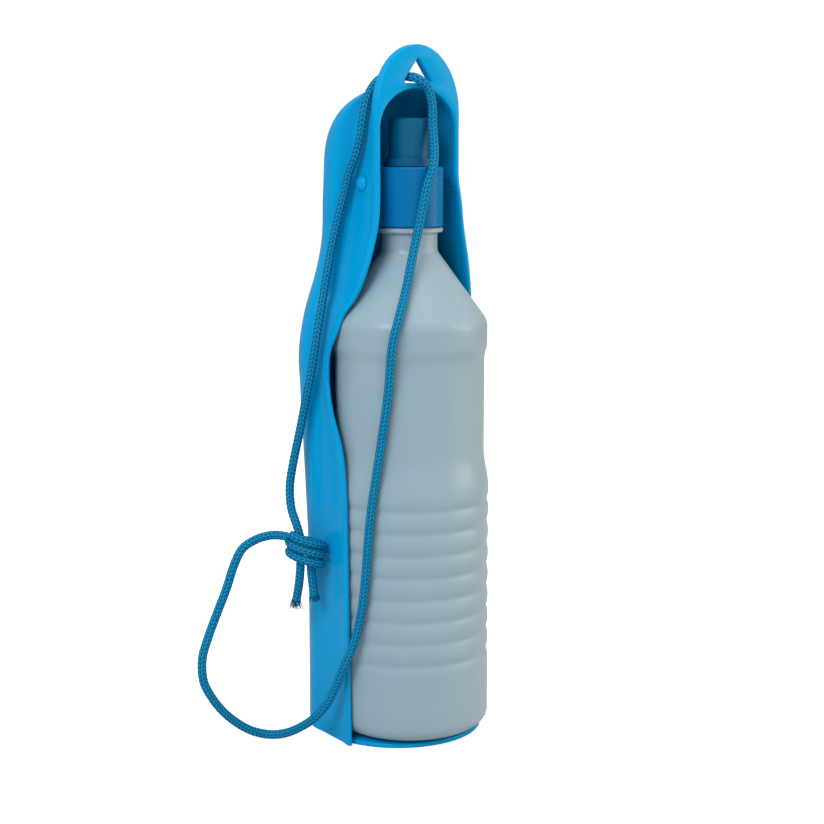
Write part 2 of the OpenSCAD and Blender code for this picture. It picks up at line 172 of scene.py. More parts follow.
def math_node(tree, operation, first, second=None):
    """A math node of numbers or of other nodes' outputs."""
    made = tree.nodes.new("ShaderNodeMath")
    made.operation = operation
    for slot, value in enumerate((first, second)):
        if isinstance(value, (int, float)):
            made.inputs[slot].default_value = value
        elif value is not None:
            tree.links.new(value, made.inputs[slot])
    return made.outputs[0]


def ramp_node(tree, source, stops):
    """A colour ramp over source with stops of (place, colour)."""
    made = tree.nodes.new("ShaderNodeValToRGB")
    elements = made.color_ramp.elements
    while len(elements) < len(stops):
        elements.new(0.5)
    for element, (place, colour) in zip(elements, stops):
        element.position = place
        element.color = colour
    tree.links.new(source, made.inputs["Fac"])
    return made.outputs["Color"]


def rgb(r, g, b):
    """Linear colour from 0-255 screen values."""
    def linear(c):
        c = c / 255
        return c / 12.92 if c <= 0.04045 else ((c + 0.055) / 1.055) ** 2.4
    return (linear(r), linear(g), linear(b), 1)


def moulded_group():
    """Node group: uneven tone, gloss and skin of moulded plastic."""
    group = bpy.data.node_groups.new("moulded_skin", "ShaderNodeTree")
    face = group.interface
    for name, kind in (("Tone A", "NodeSocketColor"), ("Tone B", "NodeSocketColor"),
                       ("Gloss", "NodeSocketFloat"), ("Gloss Spread", "NodeSocketFloat"),
                       ("Peel", "NodeSocketFloat")):
        face.new_socket(name, in_out="INPUT", socket_type=kind)
    for name, kind in (("Color", "NodeSocketColor"), ("Roughness", "NodeSocketFloat"),
                       ("Normal", "NodeSocketVector")):
        face.new_socket(name, in_out="OUTPUT", socket_type=kind)
    enter = group.nodes.new("NodeGroupInput")
    leave = group.nodes.new("NodeGroupOutput")
    place = group.nodes.new("ShaderNodeTexCoord").outputs["Object"]
    links = group.links

    cloud = node(group, "ShaderNodeTexNoise", Scale=38.0, Detail=3.0, Roughness=0.5)
    links.new(place, cloud.inputs["Vector"])
    tone = group.nodes.new("ShaderNodeMix")
    tone.data_type = "RGBA"
    links.new(cloud.outputs["Fac"], tone.inputs[0])
    links.new(enter.outputs["Tone A"], tone.inputs[6])
    links.new(enter.outputs["Tone B"], tone.inputs[7])
    links.new(tone.outputs[2], leave.inputs["Color"])

    smear = node(group, "ShaderNodeTexNoise", Scale=160.0, Detail=4.0, Roughness=0.6)
    links.new(place, smear.inputs["Vector"])
    spread = math_node(group, "MULTIPLY", smear.outputs["Fac"], enter.outputs["Gloss Spread"])
    links.new(math_node(group, "ADD", spread, enter.outputs["Gloss"]), leave.inputs["Roughness"])

    skin = node(group, "ShaderNodeTexNoise", Scale=900.0, Detail=2.0, Roughness=0.5)
    links.new(place, skin.inputs["Vector"])
    bump = node(group, "ShaderNodeBump", Distance=0.00005)
    links.new(enter.outputs["Peel"], bump.inputs["Strength"])
    links.new(skin.outputs["Fac"], bump.inputs["Height"])
    links.new(bump.outputs["Normal"], leave.inputs["Normal"])
    return group


MOULDED = moulded_group()


def use_moulded(tree, shader, tone_a, tone_b, gloss, spread, peel):
    """Feeds the moulded skin's colour, roughness and normal to the shader."""
    skin = tree.nodes.new("ShaderNodeGroup")
    skin.node_tree = MOULDED
    for name, value in (("Tone A", tone_a), ("Tone B", tone_b), ("Gloss", gloss),
                        ("Gloss Spread", spread), ("Peel", peel)):
        skin.inputs[name].default_value = value
    tree.links.new(skin.outputs["Color"], shader.inputs["Base Color"])
    tree.links.new(skin.outputs["Roughness"], shader.inputs["Roughness"])
    tree.links.new(skin.outputs["Normal"], shader.inputs["Normal"])


def trough_plastic():
    """Bright blue moulded polypropylene with a satin gloss."""
    material, tree, shader = new_material("trough_plastic")
    use_moulded(tree, shader, rgb(0, 149, 206), rgb(0, 156, 213), 0.2, 0.12, 0.1)
    shader.inputs["IOR"].default_value = 1.49
    shader.inputs["Specular IOR Level"].default_value = 0.05
    shader.inputs["Coat Weight"].default_value = 0.08
    shader.inputs["Coat Roughness"].default_value = 0.12
    return material


def cap_plastic():
    """Deeper blue plastic of the screw cap."""
    material, tree, shader = new_material("cap_plastic")
    use_moulded(tree, shader, rgb(0, 104, 160), rgb(0, 112, 170), 0.2, 0.12, 0.1)
    shader.inputs["IOR"].default_value = 1.49
    shader.inputs["Specular IOR Level"].default_value = 0.1
    return material


def nozzle_plastic():
    """Dark teal plastic of the drinking nozzle."""
    material, tree, shader = new_material("nozzle_plastic")
    use_moulded(tree, shader, rgb(0, 84, 120), rgb(0, 92, 128), 0.34, 0.12, 0.15)
    shader.inputs["IOR"].default_value = 1.49
    shader.inputs["Specular IOR Level"].default_value = 0.18
    return material


def seal_rubber():
    """Black rubber of the seal ring and washer."""
    material, tree, shader = new_material("seal_rubber")
    use_moulded(tree, shader, rgb(22, 22, 24), rgb(34, 34, 36), 0.6, 0.2, 0.4)
    return material


def bottle_plastic():
    """Milky translucent squeeze bottle."""
    material, tree, shader = new_material("bottle_plastic")
    use_moulded(tree, shader, rgb(142, 166, 179), rgb(153, 174, 184), 0.24, 0.14, 0.07)
    shader.inputs["Specular IOR Level"].default_value = 0.4
    shader.inputs["Subsurface Weight"].default_value = 0.45
    shader.inputs["Subsurface Radius"].default_value = (1.0, 1.0, 1.0)
    shader.inputs["Subsurface Scale"].default_value = 0.002
    shader.inputs["IOR"].default_value = 1.45
    return material


BRAID_COLUMNS = 8
BRAID_PITCH = 1.7      # mm from stitch to stitch
BRAID_SLANT = 0.9


def braid_height(around, along):
    """Height from 0 to 1 of the cord's V stitches; along is in millimetres."""
    column = around * BRAID_COLUMNS
    fold = abs((column + 1) % 2 - 1)
    stitch = abs(math.sin(math.pi * (along / BRAID_PITCH + BRAID_SLANT * fold)))
    return stitch ** 0.6 * abs(math.sin(math.pi * column)) ** 0.4


def cord_fibre():
    """Braided teal cord: V stitches, with painted shade in the gaps between them and a painted
    highlight on their crests.
    """
    material, tree, shader = new_material("cord_fibre")
    uv = tree.nodes.new("ShaderNodeUVMap")
    uv.uv_map = "braid"
    split = tree.nodes.new("ShaderNodeSeparateXYZ")
    tree.links.new(uv.outputs["UV"], split.inputs[0])
    column = math_node(tree, "MULTIPLY", split.outputs["X"], BRAID_COLUMNS)
    fold = math_node(tree, "PINGPONG", column, 1.0)
    along = math_node(tree, "MULTIPLY", split.outputs["Y"], 1000 / BRAID_PITCH)
    phase = math_node(tree, "ADD", along, math_node(tree, "MULTIPLY", fold, BRAID_SLANT))
    wave = math_node(tree, "SINE", math_node(tree, "MULTIPLY", phase, math.pi))
    stitch = math_node(tree, "POWER", math_node(tree, "ABSOLUTE", wave), 0.6)
    edge = math_node(tree, "SINE", math_node(tree, "MULTIPLY", column, math.pi))
    edge = math_node(tree, "POWER", math_node(tree, "ABSOLUTE", edge), 0.4)
    height = math_node(tree, "MULTIPLY", stitch, edge)
    fibre = node(tree, "ShaderNodeTexNoise", Scale=2600.0, Detail=3.0)
    tree.links.new(tree.nodes.new("ShaderNodeTexCoord").outputs["Object"], fibre.inputs["Vector"])
    mixed = math_node(tree, "MULTIPLY_ADD", fibre.outputs["Fac"], 0.22)
    tree.links.new(math_node(tree, "SUBTRACT", height, 0.11), mixed.node.inputs[2])
    # Ramp over the stitch height: painted shade at the low end, a painted highlight at the top,
    # the cord's own teal between.
    colour = ramp_node(tree, mixed, ((0.0, rgb(0, 54, 82)), (0.4, rgb(0, 92, 134)),
                                     (0.75, rgb(0, 128, 174)), (1.0, rgb(0, 154, 200))))
    tree.links.new(colour, shader.inputs["Base Color"])
    bump = node(tree, "ShaderNodeBump", Strength=0.6, Distance=0.0002)
    tree.links.new(mixed, bump.inputs["Height"])
    tree.links.new(bump.outputs["Normal"], shader.inputs["Normal"])
    shader.inputs["Roughness"].default_value = 0.7
    shader.inputs["Specular IOR Level"].default_value = 0.15
    return material


# ---------- cord ----------
CORD_D = 3.6
CORD_FRONT = [
    (-2.8, -4.6, 261.6), (-2.4, -7.2, 261.4), (-0.6, -9, 260), (2.6, -9.2, 257),
    (4.4, -9.2, 251), (4.4, -9.6, 243), (3.4, -12.2, 234), (0.4, -15.6, 227),
    (-2.6, -15.8, 220), (-5, -15.4, 209), (-8.6, -15.8, 196), (-14.6, -19.2, 181),
    (-21.2, -24, 170.5), (-24, -23.8, 160), (-24.4, -21.6, 142), (-26.2, -19, 121),
    (-29.6, -17, 94), (-31, -14.4, 64), (-32.2, -12, 50), (-34.2, -10.4, 41),
    (-36.8, -8, 33), (-38.4, -5, 25), (-41, -1.6, 17), (-44.2, 3, 10.6), (-47.8, 9, 5.6),
    (-51, 15, 2.4), (-56, 19, 1.9), (-62.6, 21, 4.3), (-69, 22, 8.9), (-74.4, 22, 14.2),
    (-79, 22, 20.5), (-82.6, 22, 28), (-83, 22, 37), (-80.4, 22, 45), (-76.4, 22, 54),
    (-72.4, 21, 64), (-69.2, 20.5, 73), (-65.6, 20, 79.4), (-60, 19, 82.6),
    (-54.6, 17.6, 83.8), (-50.8, 15.8, 83.7), (-48.5, 13.2, 83.2)]
CORD_BACK = [
    (-2.9, -3.6, 261.8), (-3.3, -1.6, 262), (-5, 0.4, 262.3), (-8.4, 1, 262), (-12.4, 1, 261),
    (-16.2, 1, 257.8), (-19, 0.8, 253.2), (-20.7, 0.7, 247.5), (-21.6, 1.4, 240),
    (-22.2, 4, 232), (-22.8, 8, 225), (-23.6, 10.2, 217), (-25.6, 12, 207), (-28.6, 12.2, 195),
    (-32.8, 10.6, 180), (-37, 8.8, 165), (-38.6, 11, 149), (-39.6, 14, 137), (-40.8, 16.6, 125),
    (-42.6, 19, 112), (-43.8, 20, 102), (-44.2, 18.4, 93.5), (-43.9, 14.6, 87),
    (-43.7, 12.6, 82.5), (-43.7, 12.5, 78.2)]
TAIL_LEFT = [(-43.7, 12.5, 77.8), (-43.7, 12.5, 71), (-44, 13.2, 64), (-44.6, 14.4, 57)]
TAIL_RIGHT = [(-40.3, 10.1, 79), (-40.3, 10.1, 71), (-40, 9.6, 64.5), (-39.6, 8.8, 59)]
KNOT_AT = Vector((-42, 11.3, 78))
KNOT_ROW = Vector((0.83, -0.56, 0))
KNOT_ACROSS = Vector((0.56, 0.83, 0))
KNOT_TURNS = 2.5
KNOT_PITCH = 3.9
KNOT_TILT = 1.6
KNOT_START = 210       # degrees round the knot where the first wrap begins
KNOT_LONG, KNOT_SHORT = 1.8, 1.32    # half widths of a wrap, in cord diameters
WRAP_POINTS = 8


def knot_route():
    """Wraps round the two strands, as an ellipse that climbs down."""
    route = []
    for i in range(int(KNOT_TURNS * WRAP_POINTS) + 1):
        a = math.radians(KNOT_START + 360 / WRAP_POINTS * i)
        along = KNOT_LONG * CORD_D * math.cos(a) * KNOT_ROW
        across = KNOT_SHORT * CORD_D * math.sin(a) * KNOT_ACROSS
        down = KNOT_PITCH * (KNOT_TURNS / 2 - i / WRAP_POINTS) - KNOT_TILT * math.cos(a)
        route.append(KNOT_AT + (along + across) + Vector((0, 0, down)))
    return route


def smooth_route(route, step):
    """Points of a smooth curve through a route, about step apart."""
    p = [Vector(q) for q in route]
    line = []
    for i in range(len(p) - 1):
        a, b, c, d = p[max(i - 1, 0)], p[i], p[i + 1], p[min(i + 2, len(p) - 1)]
        n = max(1, round((c - b).length / step))
        for j in range(n):
            t = j / n
            line.append(0.5 * (2 * b + (c - a) * t + (2 * a - 5 * b + 4 * c - d) * t * t
                               + (3 * b - a - 3 * c + d) * t ** 3))
    return line + [p[-1]]


CORD_SIDES = 32
CORD_STEP = 0.34
BRAID_RELIEF = 0.2
CORD_BODY = "trough_body"
PATH_EVERY = 6         # tube rows to a point of the returned path
CUT_COLUMN = 0.06      # place on the braid's UV map that a cut face takes its colour from
CUT_ROW = 0.00085


def braid_rings(line):
    """Points of the tube's rings along a line, and each ring's distance along it in metres."""
    points, places, along = [], [], 0.0
    side = (line[1] - line[0]).cross(Vector((0.31, 0.95, 0.12))).normalized()
    for i, centre in enumerate(line):
        ahead = (line[min(i + 1, len(line) - 1)] - line[max(i - 1, 0)]).normalized()
        side = (side - side.dot(ahead) * ahead).normalized()
        other = ahead.cross(side)
        along += (centre - line[i - 1]).length if i else 0
        places.append(along * MM)
        for k in range(CORD_SIDES):
            a = 2 * math.pi * k / CORD_SIDES
            r = CORD_D / 2 - BRAID_RELIEF * (1 - braid_height(k / CORD_SIDES, along))
            points.append(centre + r * (math.cos(a) * side + math.sin(a) * other))
    return points, places


def braid_faces(places):
    """Faces of the tube between its rings and over its ends, and their corners' UVs."""
    faces, corners = [], []
    for i in range(len(places) - 1):
        low, high = i * CORD_SIDES, (i + 1) * CORD_SIDES
        for k in range(CORD_SIDES):
            n = (k + 1) % CORD_SIDES
            faces.append((low + k, low + n, high + n, high + k))
            left, right = k / CORD_SIDES, (k + 1) / CORD_SIDES
            corners += [(left, places[i]), (right, places[i]),
                        (right, places[i + 1]), (left, places[i + 1])]
    for ring, turned in ((0, True), (len(places) - 1, False)):
        end = [ring * CORD_SIDES + k for k in range(CORD_SIDES)]
        faces.append(tuple(reversed(end)) if turned else tuple(end))
        corners += [(CUT_COLUMN, places[ring])] * CORD_SIDES
    return faces, corners


def dress_cord(obj, corners):
    """UV map, shading, material, slot and body of a piece of the cord."""
    layer = obj.data.uv_layers.new(name="braid")
    for loop, corner in zip(layer.data, corners):
        loop.uv = corner
    smooth(obj, 60)
    obj.data.materials.append(CORD_FIBRE)
    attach(obj, CORD_BODY)


def cord_tube(name, route):
    """A braided tube along a route, its stitches raised, and its path in metres."""
    line = smooth_route(route, CORD_STEP)
    points, places = braid_rings(line)
    faces, corners = braid_faces(places)
    obj = mesh_piece(name, points, faces)
    dress_cord(obj, corners)
    return obj, [q * MM for q in line[::PATH_EVERY] + [line[-1]]]


FRAY_FIBRES = 70
FRAY_R = 1.45          # of the bundle that the fibres leave
FRAY_ROOT = 1.2        # how deep in the cord they start
FRAY_WANDER = 0.8
FIBRE_STEPS, FIBRE_SIDES = 6, 4


def loose_fibre(dice, end, axes, length, spread):
    """Points of one thin fibre that leans out of the cord's cut end."""
    ahead, side, other = axes
    a, r = dice.uniform(0, 2 * math.pi), FRAY_R * math.sqrt(dice.random())
    out = math.cos(a) * side + math.sin(a) * other
    root = end - ahead * FRAY_ROOT + out * r
    lean = out * (r / FRAY_R) * spread * dice.uniform(0.4, 1.2)
    lean += (side * dice.uniform(-FRAY_WANDER, FRAY_WANDER)
             + other * dice.uniform(-FRAY_WANDER, FRAY_WANDER))
    reach = length * dice.uniform(0.55, 1.0)
    thick = dice.uniform(0.14, 0.24)
    points = []
    for i in range(FIBRE_STEPS + 1):
        t = i / FIBRE_STEPS
        curl = 0.25 * math.sin(5 * t + a) * t
        centre = root + ahead * reach * t + lean * t * t + side * curl
        width = thick * (1 - 0.5 * t)
        for k in range(FIBRE_SIDES):
            b = 2 * math.pi / FIBRE_SIDES * k
            points.append(centre + width * (math.cos(b) * side + math.sin(b) * other))
    return points


def fibre_faces(start):
    """Faces of one fibre whose points begin at start."""
    faces = []
    for i in range(FIBRE_STEPS):
        for k in range(FIBRE_SIDES):
            p = start + i * FIBRE_SIDES + k
            q = start + i * FIBRE_SIDES + (k + 1) % FIBRE_SIDES
            faces.append((p, q, q + FIBRE_SIDES, p + FIBRE_SIDES))
    faces.append(tuple(start + k for k in reversed(range(FIBRE_SIDES))))
    faces.append(tuple(start + FIBRE_STEPS * FIBRE_SIDES + k for k in range(FIBRE_SIDES)))
    return faces


def frayed_end(name, route, length, spread, seed):
    """Loose fibres that fan out of a cord's cut end."""
    dice = random.Random(seed)
    end, before = Vector(route[-1]), Vector(route[-2])
    ahead = (end - before).normalized()
    side = ahead.cross(Vector((0, 1, 0))).normalized()
    axes = (ahead, side, ahead.cross(side))
    points, faces = [], []
    for _ in range(FRAY_FIBRES):
        faces += fibre_faces(len(points))
        points += loose_fibre(dice, end, axes, length, spread)
    obj = mesh_piece(name, points, faces)
    recalculate_normals(obj)
    dress_cord(obj, [(CUT_COLUMN, CUT_ROW)] * len(obj.data.loops))
    return obj


def build_cords():
    """The two stretches of cord, their knot and its two frayed tails."""
    front, front_path = cord_tube("cord_front_braid", CORD_FRONT)
    back, back_path = cord_tube("cord_back_braid", CORD_BACK)
    knot, _ = cord_tube("cord_knot_wraps", knot_route())
    left, _ = cord_tube("cord_tail_left_braid", TAIL_LEFT)
    right, _ = cord_tube("cord_tail_right_braid", TAIL_RIGHT)
    fray_left = frayed_end("cord_fray_left", TAIL_LEFT, 5.6, 2.2, 3)
    fray_right = frayed_end("cord_fray_right", TAIL_RIGHT, 3.8, 1.7, 8)
    for piece, solid in ((front, "cord_front"), (back, "cord_back"), (knot, "cord_knot"),
                         (left, "cord_tail_left"), (right, "cord_tail_right")):
        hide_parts(solid)
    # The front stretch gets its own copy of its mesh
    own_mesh(front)


# ---------- trough ----------
BODY_D, BAND_D, WAIST_D, NECK_D = 63.4, 61.6, 59.4, 22.0
SHELF_T, SHELF_FRONT, SHELF_BACK = 1.8, 25.5, 8.0
SHOULDER_Z = 168.0
BODY_W, NECK_W, BACK_Y = 33.4, 18.9, 34.2
WALL, BEAD, BEAD_DEPTH, CORNER_R = 1.3, 0.4, 4.0, 15.5
DOME_Z, DOME_TOP, DOME_T = 228.0, 259.0, 1.2
PLATE_Y, PLATE_T, PLATE_LOW, PLATE_TOP = -6.45, 4.2, 219.9, 274.0
PLATE_PROUD, PLATE_ROUND = 0.15, 0.9
CROWN_H, ARCH_Z, ARCH_H, ARCH_EDGE = 26.0, 257.3, 15.3, 0.3
HOLE_W, HOLE_H, HOLE_LOW = 13.4, 9.2, 259.3
HOLE_ROUND = 1.65      # from each corner of the hanging hole to where its rounding starts
HOLE_POINT = 0.6       # what the rounding takes off the hole's point
LIP_R = 0.75           # rounding of the rim
BEAD_STEP = 1.2        # above the bead's lower end, where it starts to fade
WALL_ROWS, DOME_ROWS = 92, 22
FOOT_Z = 0.3
REAR_POWER, FRONT_POWER = 2.4, 4.5   # how square the dome is behind and across
DOME_MIN = 0.08
# height, width share, rim, gain behind the rim, valley
LEVELS = [
    (0, 1, -7.4, 0.4, 11.5), (20, 1, -6.7, 0.4, 11.5), (52, 1, -6.2, 0.4, 11.5),
    (82, 1, -5.6, 0.7, 11.5), (100, 1, -5.1, 1.5, 12), (113, 1.007, -3.6, 2.04, 12),
    (122, 1.013, -0.9, 2.38, 12), (131, 1.02, 3.6, 2.89, 12), (141, 1.034, 6.3, 3.06, 12),
    (151, 1.047, 6.5, 3.4, 12), (157, 1.027, 5.4, 3.4, 12), (164, 0.95, 2, 3.4, 12),
    (171, 0.81, 0.2, 3.84, 12), (177, 0.615, -3.1, 4.67, 12), (183, 0.475, -5.3, 4.48, 12),
    (191, 0.33, -6.9, 4.22, 11.6), (199, 0.195, -7.6, 4.61, 11), (206, 0.1, -8, 5.5, 10.5),
    (214, 0.05, -7.8, 6.08, 10), (222, 0, -6.9, 6.4, 9.5), (230, 0, -6.3, 6.08, 9.5),
    (239, 0, -6.3, 5.89, 9.5), (281, 0, -6.3, 5.89, 9.5)]
VALLEY_W = 6.5


def level_value(column, z):
    """Smooth value of a column of LEVELS at height z."""
    i = max(k for k in range(len(LEVELS) - 1) if k == 0 or LEVELS[k][0] <= z)

    def slope(k):
        a, b = max(k - 1, 0), min(k + 1, len(LEVELS) - 1)
        return (LEVELS[b][column] - LEVELS[a][column]) / (LEVELS[b][0] - LEVELS[a][0])

    h = LEVELS[i + 1][0] - LEVELS[i][0]
    t = max(0.0, min(1.0, (z - LEVELS[i][0]) / h))
    return ((2 * t ** 3 - 3 * t * t + 1) * LEVELS[i][column]
            + (t ** 3 - 2 * t * t + t) * h * slope(i)
            + (3 * t * t - 2 * t ** 3) * LEVELS[i + 1][column]
            + (t ** 3 - t * t) * h * slope(i + 1))


def lip_corner(x, rim, inward):
    """The rounded edge of the rim at x; inward is -1 on the outside and 1 on the inside."""
    return [(x + inward * LIP_R, rim), (x + inward * 0.25, rim + 0.2), (x, rim + LIP_R)]


def half_section(z, inset, rear=1.0, front_scale=1.0):
    """Right half of the U section at height z, from its lip to its back."""
    a = NECK_W + (BODY_W - NECK_W) * level_value(1, z)
    rim, gain, valley = level_value(2, z), level_value(3, z), level_value(4, z)
    b, r, y2 = a + gain, CORNER_R - inset, BACK_Y - inset
    if inset:
        points = lip_corner(a - inset, rim, 1) + [(a - inset, rim + 2.2)]
    else:
        fade = rim + BEAD_DEPTH - BEAD_STEP
        points = lip_corner(a + BEAD, rim, -1) + [(a + BEAD, fade)]
        points += [(a + BEAD * (1 - ease(k / 4)), fade + 1.4 * k / 4) for k in range(1, 5)]
    low = points[-1][1]
    points += [(a - inset, low + (valley - low) * k / 4) for k in range(1, 4)]
    points += [(a - inset + gain * ease(k / 10), valley + VALLEY_W * k / 10) for k in range(11)]
    if y2 - r - valley - VALLEY_W > 0.8:
        points.append((b - inset, (y2 - r + valley + VALLEY_W) / 2))
    else:
        points.append((b - inset, y2 - r - 0.1))
    points += [(b - inset - r + r * math.cos(math.radians(t)),
                y2 - r + r * math.sin(math.radians(t))) for t in range(0, 91, 6)]
    points += [((b - inset - r) * k / 3, y2) for k in (2, 1)]
    return [(x * (front_scale + (rear - front_scale) * (y - rim) / (y2 - rim)),
             rim + (y - rim) * rear) for x, y in points]


def ring_at(z_out, z_in, rear=1.0, front_scale=1.0):
    """Closed ring of the wall: outside from lip to lip, then back along the inside."""
    ring = []
    for z, inset in ((z_out, 0), (z_in, WALL)):
        half = half_section(z, inset, rear, front_scale)
        whole = half + [(0, max(y for _, y in half))] + [(-x, y) for x, y in reversed(half)]
        whole = [(x, y, z) for x, y in whole]
        ring.append(whole)
    return ring[0] + ring[1][::-1], len(ring[0])


def dome_share(s, power):
    """How much of the section is left at share s of the dome's height."""
    return max(DOME_MIN, (1 - s ** power) ** (1 / power))


def end_strip(base, outer, inner, turned):
    """Triangles between the outer and the inner row of one end of the wall."""
    faces = []
    outer_row = [base + k for k in range(outer)]
    inner_row = [base + outer + inner - 1 - k for k in range(inner)]
    i = j = 0
    while i < outer - 1 or j < inner - 1:
        outer_next = (i + 1) / (outer - 1) <= (j + 1) / (inner - 1)
        step_out = i < outer - 1 and (j == inner - 1 or outer_next)
        if step_out:
            face = (outer_row[i], outer_row[i + 1], inner_row[j])
        else:
            face = (outer_row[i], inner_row[j + 1], inner_row[j])
        faces.append(face if turned else face[::-1])
        i, j = (i + 1, j) if step_out else (i, j + 1)
    return faces


def trough_shell():
    """The trough's wall, lofted through its levels and closed over by its dome."""
    heights = [FOOT_Z + (DOME_Z - FOOT_Z) * i / WALL_ROWS for i in range(WALL_ROWS + 1)]
    rings = [ring_at(z, z) for z in heights]
    for i in range(1, DOME_ROWS + 1):
        s = 1 - (1 - i / DOME_ROWS) ** 1.7
        rings.append(ring_at(DOME_Z + (DOME_TOP - DOME_Z) * s,
                             DOME_Z + (DOME_TOP - DOME_T - DOME_Z) * s,
                             dome_share(s, REAR_POWER), dome_share(s, FRONT_POWER)))
    outer = rings[0][1]
    rings = [ring for ring, _ in rings]
    n, last = len(rings[0]), len(rings) - 1
    points = [p for ring in rings for p in ring]
    faces = [(i * n + j, i * n + (j + 1) % n, (i + 1) * n + (j + 1) % n, (i + 1) * n + j)
             for i in range(last) for j in range(n)]
    faces += end_strip(0, outer, n - outer, True)
    faces += end_strip(last * n, outer, n - outer, False)
    shell = mesh_piece("trough_shell", points, faces)
    recalculate_normals(shell)
    return shell


def flat_outline(name, outlines, y, thickness, rounding):
    """A plate in the XZ plane from closed outlines, with rounded edges."""
    data = bpy.data.curves.new(name, "CURVE")
    data.dimensions = "2D"
    data.fill_mode = "BOTH"
    data.extrude = (thickness / 2 - rounding) * MM
    data.bevel_depth = rounding * MM
    data.bevel_resolution = 4
    data.offset = -rounding * MM
    for outline in outlines:
        spline = data.splines.new("POLY")
        spline.points.add(len(outline) - 1)
        for point, (x, z) in zip(spline.points, outline):
            point.co = (x * MM, z * MM, 0, 1)
        spline.use_cyclic_u = True
    obj = bpy.data.objects.new(name, data)
    bpy.context.scene.collection.objects.link(obj)
    obj.rotation_euler = (math.pi / 2, 0, 0)
    obj.location = (0, (y + thickness / 2) * MM, 0)
    activate(obj)
    bpy.ops.object.convert(target="MESH")
    obj = bpy.context.object
    settle(obj)
    recalculate_normals(obj)
    return obj


ARCH_STEPS = 48


def arch(half_w, top, height):
    """Half ellipse over a straight band, from right to left."""
    turns = [math.pi * i / ARCH_STEPS for i in range(ARCH_STEPS + 1)]
    return [(half_w * math.cos(t), top - height + height * math.sin(t)) for t in turns]


def hanging_hole():
    """Rounded triangle with its point up."""
    outline = []
    corners = [(HOLE_W / 2, HOLE_LOW), (0, HOLE_LOW + HOLE_H + HOLE_POINT),
               (-HOLE_W / 2, HOLE_LOW)]
    for i, corner in enumerate(corners):
        here = Vector(corner)
        before, after = Vector(corners[i - 1]), Vector(corners[(i + 1) % 3])
        start = here + (before - here).normalized() * HOLE_ROUND
        end = here + (after - here).normalized() * HOLE_ROUND
        for k in range(9):
            t = k / 8
            outline.append(tuple((1 - t) ** 2 * start + 2 * t * (1 - t) * here + t * t * end))
    return outline


def hanger_plate():
    """The flat arched plate in front of the dome, with its opening and hanging hole."""
    half_w = NECK_W + BEAD + PLATE_PROUD
    opening = NECK_W - WALL - ARCH_EDGE
    outline = [(half_w, PLATE_LOW)] + arch(half_w, PLATE_TOP, CROWN_H) + [(-half_w, PLATE_LOW)]
    outline += [(-opening, PLATE_LOW)] + arch(opening, ARCH_Z, ARCH_H)[::-1]
    outline += [(opening, PLATE_LOW)]
    return flat_outline("trough_plate", [outline, hanging_hole()], PLATE_Y, PLATE_T, PLATE_ROUND)


SHELF_STEPS = 24       # on each side of the bowed edge's middle


def end_shelf():
    """The shelf that closes the trough's foot, with a bowed front edge."""
    half = half_section(0, WALL / 2)
    edge = half + [(-x, y) for x, y in reversed(half)]
    start = (half[3][0], half[0][1] + SHELF_BACK)
    bow = SHELF_FRONT + start[1]
    radius = (start[0] ** 2 + bow ** 2) / (2 * bow)
    sweep = math.asin(start[0] / radius)
    outline = [p for p in edge if p[1] > start[1]]
    turns = [sweep * (k / SHELF_STEPS - 1) for k in range(2 * SHELF_STEPS + 1)]
    outline += [(radius * math.sin(t), -SHELF_FRONT + radius - radius * math.cos(t))
                for t in turns]
    shelf = mesh_piece("trough_shelf", [(x, y, 0) for x, y in outline],
                       [tuple(range(len(outline)))])
    activate(shelf)
    bpy.ops.object.mode_set(mode="EDIT")
    bpy.ops.mesh.select_all(action="SELECT")
    bpy.ops.mesh.extrude_region_move(TRANSFORM_OT_translate={"value": (0, 0, SHELF_T * MM)})
    bpy.ops.object.mode_set(mode="OBJECT")
    recalculate_normals(shelf)
    bevel_edges(shelf, 0.5, 60)
    return shelf


def build_trough():
    """The blue trough: wall, dome, end shelf and hanger plate in one moulding."""
    trough = trough_shell()
    trough.name = "trough_moulding"
    combine(trough, end_shelf(), "UNION")
    combine(trough, hanger_plate(), "UNION")
    smooth(trough, 32)
    trough.data.materials.clear()
    trough.data.materials.append(TROUGH_PLASTIC)
    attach(trough, "trough_body")
    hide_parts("trough")


# ---------- bottle, cap and nozzle ----------
SPIN_STEPS = 128
BASE_Z, NECK_Z, RING_Z, LIP_Z = 3.2, 193.4, 201.7, 223.4
BASE_R, SHOULDER_R, BOTTLE_WALL, BAND_H = 6.0, 8.0, 1.0, 12.0
GROOVES, GROOVE_PITCH, GROOVE_DEPTH, GROOVE_START = 8, 8.8, 1.1, 31.2
RING_D, RING_T, FINISH_D = 26.2, 2.3, 20.4
RIB_CREASE, RIB_SWELL = 0.28, 0.3    # shares of the depth in the sharp crease and soft swell
GROOVE_STEPS = 20
WAIST_BLEND = 16.0
BAND_LEAD, BAND_STEP = 3.6, 6.4      # where the band's lower step starts, and its height
RIBS_LOW = BASE_Z + GROOVE_START - GROOVE_PITCH / 2
RIBS_TOP = BASE_Z + GROOVE_START + (GROOVES - 0.5) * GROOVE_PITCH


def groove_r(z):
    """Radius over the squeeze ribs at height z."""
    turn = (z - BASE_Z - GROOVE_START) / GROOVE_PITCH
    crease = abs(math.cos(math.pi * turn)) ** 10
    swell = abs(math.cos(math.pi * turn)) ** 2
    return BODY_D / 2 - GROOVE_DEPTH * (RIB_CREASE * crease + RIB_SWELL * swell)


